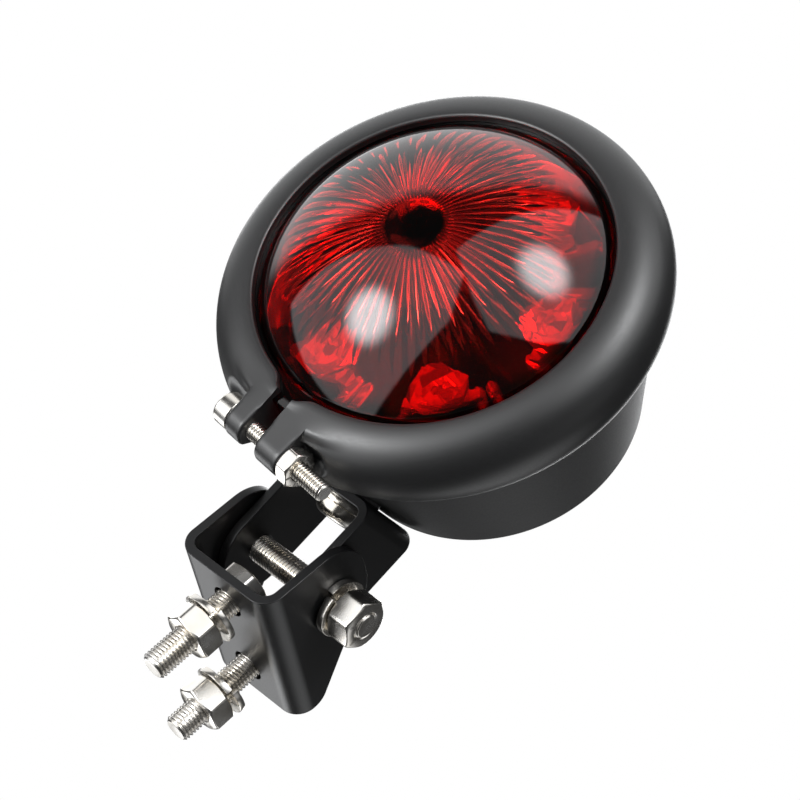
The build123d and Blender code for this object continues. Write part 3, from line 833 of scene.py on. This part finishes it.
def ring_stations(side):
    """(x, ear share) from the split outward on one side; side is the ear's outer face."""
    split = RING_GAP / 2
    stations = [(split, 0.90), (split + 0.1, 0.95), (split + 0.3, 0.985), (split + 0.6, 1.0)]
    stations += [(x, 1.0) for x in np.linspace(split + 1.1, side - 0.7, 8)]
    stations += [(side - 0.4, 0.985), (side - 0.15, 0.955), (side - 0.02, 0.90)]
    stations += [(side, share) for share in (0.8, 0.6, 0.45, 0.33)]
    fading = ((0.05, 0.2), (0.2, 0.12), (0.45, 0.06), (0.8, 0.02), (1.3, 0.0))
    stations += [(side + d, share) for d, share in fading]
    stations += [(x, 0.0) for x in np.linspace(side + 1.9, 20.0, 24)]
    return stations


def ring_section(x, share, side):
    """Outline of the bead at x: tube, less the relief, plus the ear; the lip opens out at the split."""
    angles = np.linspace(math.atan2(-6.9, -3.3), math.atan2(9.3, 2.85), 84)
    tube = ray_reach(tube_outline(), angles)
    cut = smooth_least(tube, np.maximum(relief_reach(x, angles), 0.6), 1.6)
    ear = np.maximum(ray_reach(ear_outline(x), angles), cut)
    front = 1 - smooth_step(angles, math.radians(-78), math.radians(-56))
    wide = 1 - smooth_step(x, side - 2.0, side + 9.0)
    reach = cut + (ear - cut) * (share * (1 - front) + wide * front)
    from_r, from_y = RAY_CENTRE
    outside = [(from_r + r * math.cos(a), from_y + r * math.sin(a)) for r, a in zip(reach, angles)]
    rear = [(42.75, 16.45), (41.9, 16.45), (41.7, 16.25)]
    section = [(36.35, 0.12), *outside, *rear, *RING_CHANNEL, (36.18, 0.3)]
    flare = LIP_FLARE * (1 - smooth_step(x, RING_GAP / 2, RING_GAP / 2 + 5.0)) ** 2
    narrow = (LIP_ROOT - OPENING_RADIUS - flare) / (LIP_ROOT - OPENING_RADIUS)
    return [(LIP_ROOT - (LIP_ROOT - r) * narrow if r < LIP_ROOT else r, y) for r, y in section]


def clamp_ring_mesh():
    rings = []
    for x, share in reversed(ring_stations(EAR_HEAD_X)):
        section = ring_section(x, share, EAR_HEAD_X)
        rings.append([(-x, y, -math.sqrt(r * r - x * x)) for r, y in section])
    rings.reverse()
    right = []
    for x, share in ring_stations(EAR_NUT_X):
        section = ring_section(x, share, EAR_NUT_X)
        right.append([(x, y, -math.sqrt(r * r - x * x)) for r, y in section])
    around = []
    for t in np.linspace(0, 1, 221)[1:-1]:
        row = []
        for r, y in section:
            first = math.asin(20.0 / r)
            angle = first + (2 * math.pi - 2 * first) * t
            row.append((r * math.sin(angle), y, -r * math.cos(angle)))
        around.append(row)
    return surface_of_rings([*right, *around, *reversed(rings)], True)


# ---- housing, gasket, grommet -----------------------------------------------------------------
FACING_REAR = spin("X", -90)


def make_housing(coat, rubber):
    wall, back, recess, bore = 2.2, 52.0, 2.0, 4.5
    outline = [
        (37.8, 12.0),
        (42.6, 12.0),
        (42.6, 14.4),
        (41.4, 14.4),
        HOUSING_FRONT,
        HOUSING_BACK,
        (HOUSING_BACK[0] - wall, back),
        (HOUSING_BACK[0] - wall, back - recess),
        (bore, back - recess),
        (bore, back - recess - wall),
        (31.2, back - recess - wall),
        (39.2, 16.6),
        (37.8, 14.4),
    ]
    shell = moved(turned(rounded(outline, 1.1, 5), 256), FACING_REAR)
    pad = turned(rounded([(3.1, 0), (6.5, 0), (6.5, 5.5), (3.1, 5.5)], 0.25, 2), 96)
    pad = moved(pad, LAMP.inverted() @ WEB_PLACE)
    finish_piece("housing_shell", joined([shell, pad]), LAMP, "lamp", "housing", coat)

    inside = back - recess - wall
    bush = [(2.6, inside - 1.6), (6.1, inside - 1.6), (6.1, inside), (4.5, inside), (4.5, back - recess)]
    bush += [(6.1, back - recess), (5.5, back - recess + 1.6), (2.6, back - recess + 1.6)]
    grommet = moved(turned(rounded(bush, 0.5, 4), 96), FACING_REAR)
    finish_piece("cable_grommet_rubber", grommet, LAMP, "lamp", "cable_grommet", rubber)
    seal = rounded([(37.8, 10.4), (40.1, 10.4), (40.1, 12.0), (37.8, 12.0)], 0.4, 3)
    gasket = moved(turned(seal), FACING_REAR)
    finish_piece("lens_gasket_rubber", gasket, LAMP, "lamp", "lens_gasket", rubber)


# ---- lens -----------------------------------------------------------------------------------------
LENS_EDGE = (35.3, 1.6)
LENS_APEX_Y = -15.0
LENS_WALL = 2.2
FLUTES = 60
FLUTE_DEPTH = 0.65
FLUTE_START = 5.6
FLUTE_STOP = 29.5
FLUTE_FULL = 18.5
LENS_SEGMENTS = 600


def dome_radius():
    height = LENS_EDGE[1] - LENS_APEX_Y
    return (LENS_EDGE[0] ** 2 + height**2) / (2 * height)


def lens_mesh():
    """Smooth outside; inside ribbed by radial flutes that run out from a low rise round the hub."""
    radius = dome_radius()
    centre = LENS_APEX_Y + radius
    inner = radius - LENS_WALL
    inner_edge = LENS_EDGE[0] - LENS_WALL
    angles = [2 * math.pi * k / LENS_SEGMENTS for k in range(LENS_SEGMENTS)]

    def flat(r, y):
        return [(r * math.cos(a), y, r * math.sin(a)) for a in angles]

    rings = []
    for share in np.linspace(0.004, 1, 46):
        r = LENS_EDGE[0] * share
        rings.append(flat(r, centre - math.sqrt(radius**2 - r * r)))
    rings += [flat(35.32, 1.72), flat(35.45, 1.9), flat(35.7, 1.9)]
    rings += [flat(39.8, 1.9), flat(40.02, 1.98), flat(40.1, 2.2), flat(40.1, 10.2), flat(39.9, 10.4)]
    rings += [flat(38.1, 10.4), flat(37.9, 10.2), flat(37.9, 4.2), flat(37.7, 4.0)]
    rings += [flat(33.4, 4.0), flat(33.15, 3.9)]
    for share in np.linspace(1, 0.004, 80):
        r = inner_edge * share
        base = centre - math.sqrt(inner**2 - r * r)
        rise = min(1.0, max(0.0, (r - FLUTE_START) / 2.4)) * min(1.0, 0.35 + r / 24)
        fall = min(1.0, max(0.0, (FLUTE_STOP - r) / (FLUTE_STOP - FLUTE_FULL))) ** 1.6
        deep = FLUTE_DEPTH * rise * fall
        hub = 0.16 * math.exp(-(((r - FLUTE_START) / 1.3) ** 2))
        row = []
        for a in angles:
            drift = 1 + 0.35 * math.sin(7 * a + 1.1) * math.sin(16 * a) + 0.22 * math.sin(23 * a + 0.35 * r)
            wave = abs(math.sin(a * FLUTES / 2)) ** 0.8
            row.append((r * math.cos(a), base + hub - deep * drift * (wave - 0.25), r * math.sin(a)))
        rings.append(row)
    return surface_of_rings(rings, True)


# ---- light unit behind the lens -------------------------------------------------------------------
OPTIC_COUNT = 6
OPTIC_CIRCLE = 25.0
OPTIC_PHASE = 12.0


def around(count, circle, phase, y):
    for k in range(count):
        a = math.radians(phase + 360 / count * k)
        spot = place(circle * math.cos(a), y, circle * math.sin(a))
        yield spot @ spin("Y", -math.degrees(a)) @ spin("X", 90)


def faceted_block(foot, face, length, sides=8):
    """Cut block along +Z: a waist, a stepped neck and a dished face, as moulded collimators have."""
    profile = [(foot, 0), (foot * 1.12, 0.25 * length), (foot * 1.12, 0.3 * length)]
    profile += [(face * 0.86, 0.62 * length)]
    profile += [(face * 0.93, 0.88 * length), (face * 0.93, 0.94 * length), (face * 0.72, length)]
    profile += [(face * 0.5, length - 1.1), (face * 0.2, length - 0.4)]
    rings = []
    for k, (r, z) in enumerate(profile):
        turn = math.pi / sides * (k % 2)
        row = []
        for j in range(sides):
            a = turn + 2 * math.pi * j / sides
            reach = r * (1 + 0.08 * math.sin(3.7 * j + 1.3 * k))
            level = z + 0.4 * math.sin(2.3 * j + k) * (0.0 < z)
            row.append((reach * math.cos(a), reach * math.sin(a), level))
        rings.append(row)
    core = surface_of_rings(rings, True)
    feet = []
    for way in (-1, 1):
        low = [(-2.2, 3.6), (1.6, 3.6), (2.4, 5.4), (1.2, 7.9), (-1.8, 7.6)]
        ring = [(x, way * y, 1.0) for x, y in low]
        top = [(x * 0.8, way * (y * 0.86 + 0.8), 5.6 + 0.3 * x) for x, y in low]
        feet.append(surface_of_rings([ring, top], True))
    return joined([core, *feet])


def light_guide(length, radius, height):
    """Round-ended bar along X standing on Z, its top falling towards the outer end."""
    outline = []
    for centre, start in ((length / 2 - radius, -90), (radius - length / 2, 90)):
        for a in np.radians(np.linspace(start, start + 180, 9)):
            outline.append((centre + radius * math.cos(a), radius * math.sin(a)))
    rings = []
    for share, level in ((1.0, 0.0), (1.0, height - 0.8), (0.85, height - 0.3), (0.5, height)):
        rings.append([(x * (0.9 + 0.1 * share), y * share, level - 0.06 * x) for x, y in outline])
    return surface_of_rings(rings, True)


def make_light_unit(silver, clear):
    dish = [(32.5, 14.0), (35.8, 9.8), (37.2, 9.8), (37.2, 11.2), (33.9, 15.4), (0, 15.4), (0, 14.0)]
    flared = moved(turned(rounded(dish, 0.3, 2), 240), FACING_REAR)
    ribs = []
    for spot in around(OPTIC_COUNT, 20.0, OPTIC_PHASE + 30, 14.2):
        foot = [(-11, -0.9, 0), (11.5, -0.9, 0), (11.5, 0.9, 0), (-11, 0.9, 0)]
        top = [(-10.6, -0.55, 5.2), (11.0, -0.55, 5.2), (11.0, 0.55, 5.2), (-10.6, 0.55, 5.2)]
        ribs.append(moved(surface_of_rings([foot, top], True), spot))
    guides = []
    for offset in (-16.0, 16.0, 22.5):
        for spot in around(OPTIC_COUNT, 27.6, OPTIC_PHASE + offset, 14.2):
            guides.append(moved(light_guide(9.0, 1.3, 3.2), spot))
    flared = joined([flared, *ribs])
    finish_piece("reflector_dish", flared, LAMP, "lamp", "reflector", silver)
    spots = around(OPTIC_COUNT, OPTIC_CIRCLE, OPTIC_PHASE, 15.0)
    blocks = joined([moved(faceted_block(3.2, 6.4, 9.0), spot) for spot in spots] + guides)
    name = "optic_blocks_clear"
    finish_piece(name, blocks, LAMP, "lamp", "optic_blocks", clear, sharp=8, weighted=False)


def make_all():
    make_camera()
    make_world()
    make_floor()
    steel = plated_steel("bright_nickel")
    bracket_coat = paint("bracket_coat", (0.009, 0.009, 0.0095), 0.34)
    # Painted light: the housing's black coat is a lighter copy of the ring's, standing for the light falling
    # on its lower side.
    housing_coat_painted_light = paint("housing_coat_painted_light", (0.016, 0.016, 0.0165), 0.50)
    ring_coat = paint("ring_coat", (0.009, 0.009, 0.0094), 0.40, specular=0.8)
    rubber = moulded("rubber", (0.018, 0.018, 0.018), 0.75)
    # The second colour is the deep red of the painted shadows on the lens hub and flange.
    red = lens_red_with_painted_shadows("red_plastic", (0.88, 0.032, 0.021), (0.05, 0.0015, 0.002))
    # The dark second colour is the painted shade on the reflector's floor.
    silver = reflector_with_painted_shade("metallised", (0.80, 0.80, 0.82), (0.06, 0.06, 0.065))
    clear = cut_acrylic("cut_acrylic", (0.93, 0.92, 0.90))
    chip = moulded("led_resin", (0.9, 0.86, 0.62), 0.35)
    dark = moulded("dark_moulding", (0.015, 0.012, 0.012), 0.4)
    board = moulded("white_mask", (0.76, 0.77, 0.74), 0.5)
    brass = moulded("brass", (0.72, 0.56, 0.26), 0.28, metallic=1.0)

    make_mounting_hardware(steel)
    make_pivot_hardware(steel)
    make_bracket_screw(steel)
    make_clamp_hardware(steel)
    eased_copy("base_bracket", "base_bracket_painted", "base", bracket_coat)
    eased_copy("arm_bracket", "arm_bracket_painted", "lamp", bracket_coat)
    ring = clamp_ring_mesh()
    finish_piece("clamp_ring_painted", ring, RING, "lamp", "clamp_ring", ring_coat, sharp=38)
    make_housing(housing_coat_painted_light, rubber)
    lens = lens_mesh()
    finish_piece("lens_fluted", lens, LAMP, "lamp", "lens", red, sharp=40, weighted=False)
    make_light_unit(silver, clear)

    kept = {
        "leds": chip,
        "centre_post": dark,
        "led_board": board,
        "board_standoffs": brass,
        "board_screws": steel,
        "wire_connector": moulded("connector_moulding", (0.82, 0.80, 0.72), 0.45),
        "drive_resistors": moulded("resistor_body", (0.03, 0.03, 0.03), 0.5),
        "drive_capacitor": moulded("capacitor_can", (0.72, 0.73, 0.75), 0.3, metallic=1.0),
    }
    for node, material in kept.items():
        mesh = frame["nodes"][node].data
        for index in range(max(1, len(mesh.materials))):
            if mesh.materials:
                mesh.materials[index] = material
            else:
                mesh.materials.append(material)


make_all()
